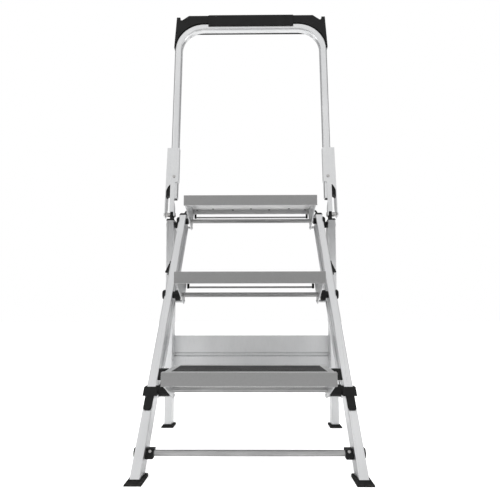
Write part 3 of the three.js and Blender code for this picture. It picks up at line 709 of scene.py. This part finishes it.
FINISHES = (
    # (start of the node's name, suffix of the piece, material, edge radius in mm)
    ("front_rail_cap", "moulding", "plastic", 0.5),
    ("rear_rail_cap", "moulding", "plastic", 0.5),
    ("front_foot", "shoe", "rubber", 1.0),
    ("rear_foot", "shoe", "rubber", 1.0),
    ("front_rail", "profile", "front", 0.35),
    ("rear_rail", "profile", "rear", 0.35),
    ("lower_cross_rod", "drawn", "rod", 0.5),
    ("pivot_rod", "drawn", "rod", 0.5),
    ("lower_rod_block", "moulding", "plastic", 0.9),
    ("lower_rod_cap", "moulding", "plastic", 0.8),
    ("pivot_cap", "moulding", "plastic", 0.8),
    ("step_bracket", "moulding", "plastic", 0.6),
    ("step_rest", "moulding", "plastic", 0.8),
    ("rail_guide", "moulding", "plastic", 0.8),
    ("bracket_block", "moulding", "plastic", 0.8),
    ("tool_tray", "moulding", "plastic", 0.7),
    ("main_hinge_bolt", "turned", "steel", 0.3),
    ("handrail_pin", "turned", "steel", 0.3),
    ("tie_bar", "strip", "front", 0.3),
    ("rear_panel", "folded", "across", 0.5),
    ("handrail_bracket", "folded", "upright", 0.35),
)


def refine_all():
    done = set()
    for start, suffix, material, width in FINISHES:
        for node in sorted(frame["nodes"]):
            if node.startswith(start) and node not in done:
                refined(node, suffix, material, width)
                done.add(node)
    for tread, body in TREADS.items():
        refined(f"{tread}_deck", "folded", "tread", 0.4)
        for side in SIDES:
            refined(f"{tread}_side_plate_{side}", "pressed", "across", 0.4)
        ribbed_mat(tread, body)
        bar_clips(tread, body)


PANEL_RIVET_HEIGHTS = (245 * MM, 225 * MM)
DECK_RIVETS = (
    # (y of a row under the platform, the rivets' places along it), both in mm
    (161, (-124, 0, 124)),
    (178, (-178, -60, 60, 178)),
)


def fasteners():
    """Rivets and screws, each where a straight line meets the piece that it holds."""
    ahead = -1
    for side, sign in SIDES.items():
        rail = f"rear_rail_{side}"
        low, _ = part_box("rear_panel")
        for index, z in enumerate(PANEL_RIVET_HEIGHTS):
            start = (0, low.y - 24 * MM, z)
            rivet(f"panel_rivet_{index + 1}_{side}", rail, start, (sign, 0, 0), 3.2 * MM)
        low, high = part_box(f"rear_foot_{side}")
        start = (sign * 500 * MM, (low.y + high.y) / 2, 50 * MM)
        rivet(f"rear_leg_rivet_{side}", rail, start, (-sign, 0, 0), 4 * MM)
        bracket = f"handrail_bracket_{side}"
        start = (sign * 249 * MM, ahead, 816 * MM)
        rivet(f"bracket_rivet_{side}", bracket, start, (0, 1, 0), 5.5 * MM)
        block = f"lower_rod_block_{side}"
        _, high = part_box(block)
        start = (sign * 227.5 * MM, ahead, high.z - 5 * MM)
        machine_screw(f"block_screw_{side}", block, start, (0, 1, 0), 3.6 * MM)
    deck = "platform_deck"
    low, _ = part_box(deck)
    finish = ("plastic", "black_plastic")
    for row, (y, places) in enumerate(DECK_RIVETS):
        for index, x in enumerate(places):
            start = (x * MM, y * MM, low.z)
            name = f"deck_rivet_{row + 1}_{index + 1}"
            rivet(name, deck, start, (0, 0, 1), 3.4 * MM, *finish)


# ---- Studio ----


def make_floor():
    """A wide pale floor with a faint unevenness."""
    recipe = Recipe("studio_floor")
    cloud = recipe.noise((1.3, 1.3, 1.3), detail=4)
    colour = recipe.mix(recipe.span(cloud, 0.3, 0.7), grey(0.93), grey(0.955))
    material = recipe.finish(colour, recipe.span(cloud, 0.3, 0.7, 0.55, 0.65))
    recipe.shader.inputs["Specular IOR Level"].default_value = 0.1
    recipe.shader.inputs["Emission Color"].default_value = (1, 1, 1, 1)
    recipe.shader.inputs["Emission Strength"].default_value = 0.55
    reach = (-60, 60)
    stage_sheet("floor", material, reach, reach, 0)


def stage_sheet(name, material, span_x, span_y, height):
    """A level rectangle that belongs to the studio."""
    (x0, x1), (y0, y1) = span_x, span_y
    mesh = bpy.data.meshes.new(name)
    corners = [(x0, y0, height), (x1, y0, height), (x1, y1, height), (x0, y1, height)]
    mesh.from_pydata(corners, [], [(0, 1, 2, 3)])
    mesh.materials.append(material)
    sheet = bpy.data.objects.new(name, mesh)
    scene.collection.objects.link(sheet)
    sheet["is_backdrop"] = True
    return sheet


def make_flag():
    """A grey sheet over the floor that only the metal sees: painted reflections, pale near the ladder and dark in
    front and far behind, that shade the metal.
    """
    recipe = Recipe("studio_flag")
    reflection_mottle = recipe.noise((6, 6, 6), detail=3)
    axes = recipe.add("ShaderNodeSeparateXYZ")
    recipe.put(recipe.coords, axes.inputs[0])
    in_front = recipe.span(axes.outputs["Y"], -0.8, -1.5)
    behind = recipe.span(axes.outputs["Y"], 2.6, 3.4)
    near = recipe.mix(recipe.span(reflection_mottle, 0.3, 0.7), grey(0.9), grey(0.94))
    # Painted reflection: the sheet turns dark in front, so the metal reflects shade there.
    reflected_shade = recipe.mix(in_front, near, grey(0.16))
    material = recipe.finish(recipe.mix(behind, reflected_shade, grey(0.2)), 0.9)
    recipe.shader.inputs["Specular IOR Level"].default_value = 0.0
    flag = stage_sheet("flag", material, (-5, 5), (-9, 9), 0.001)
    flag.visible_camera = False
    flag.visible_diffuse = False
    flag.visible_shadow = False


def make_world():
    """A white backdrop; its light comes from overhead and in front, less from the sides."""
    world = bpy.data.worlds.new("studio")
    scene.world = world
    world.use_nodes = True
    tree = world.node_tree
    nodes, links = tree.nodes, tree.links
    nodes.clear()

    def ramp(source, stops):
        node = nodes.new("ShaderNodeValToRGB")
        elements = node.color_ramp.elements
        while len(elements) < len(stops):
            elements.new(0.5)
        for element, (place, level) in zip(elements, stops):
            element.position = place
            element.color = (level, level, level, 1)
        links.new(source, node.inputs["Fac"])
        return node.outputs["Color"]

    def unit(source):
        """From -1..1 to 0..1."""
        node = nodes.new("ShaderNodeMapRange")
        node.inputs["From Min"].default_value = -1
        links.new(source, node.inputs["Value"])
        return node.outputs["Result"]

    direction = nodes.new("ShaderNodeTexCoord").outputs["Generated"]
    axes = nodes.new("ShaderNodeSeparateXYZ")
    links.new(direction, axes.inputs[0])
    height = ramp(unit(axes.outputs["Z"]), ((0.5, 0.6), (0.68, 0.78), (1.0, 1.05)))
    depth = ramp(unit(axes.outputs["Y"]), ((0.0, 1.0), (0.5, 0.8), (1.0, 0.58)))
    across = nodes.new("ShaderNodeMath")
    across.operation = "ABSOLUTE"
    links.new(axes.outputs["X"], across.inputs[0])
    sides = ramp(across.outputs[0], ((0.0, 1.0), (0.5, 0.92), (0.8, 0.4)))

    def product(first, second):
        node = nodes.new("ShaderNodeMix")
        node.data_type = "RGBA"
        node.blend_type = "MULTIPLY"
        node.inputs["Factor"].default_value = 1
        links.new(first, node.inputs["A"])
        links.new(second, node.inputs["B"])
        return node.outputs["Result"]

    lighting = nodes.new("ShaderNodeBackground")
    links.new(product(product(height, depth), sides), lighting.inputs["Color"])
    backdrop = nodes.new("ShaderNodeBackground")
    backdrop.inputs["Color"].default_value = (1, 1, 1, 1)
    seen = nodes.new("ShaderNodeMixShader")
    links.new(nodes.new("ShaderNodeLightPath").outputs["Is Camera Ray"], seen.inputs[0])
    links.new(lighting.outputs[0], seen.inputs[1])
    links.new(backdrop.outputs[0], seen.inputs[2])
    links.new(seen.outputs[0], nodes.new("ShaderNodeOutputWorld").inputs["Surface"])


def add_light(kind, name, energy, place, **settings):
    """A light at a place, aimed at the middle of the ladder."""
    data = bpy.data.lights.new(name, kind)
    data.energy = energy
    for key, value in settings.items():
        setattr(data, key, value)
    light = bpy.data.objects.new(name, data)
    scene.collection.objects.link(light)
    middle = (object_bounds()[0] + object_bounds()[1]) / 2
    light.location = place
    light.rotation_euler = (middle - Vector(place)).to_track_quat("-Z", "Y").to_euler()
    light.visible_camera = False
    return light


def make_lights():
    sky = add_light("SUN", "sky_panel", 1.6, (-0.8, -1.2, 6.0), angle=math.radians(75))
    sky.visible_glossy = False
    box = {"shape": "RECTANGLE", "size": 1.6, "size_y": 2.4}
    add_light("AREA", "softbox_left", 9, (-2.4, -1.4, 1.5), **box)
    add_light("AREA", "softbox_right", 7, (2.5, -1.2, 1.4), **box)


make_camera()
refine_all()
handrail_tube()
for side_name, side_sign in SIDES.items():
    hinge_collar(side_name, side_sign)
fasteners()
make_floor()
make_flag()
make_world()
make_lights()
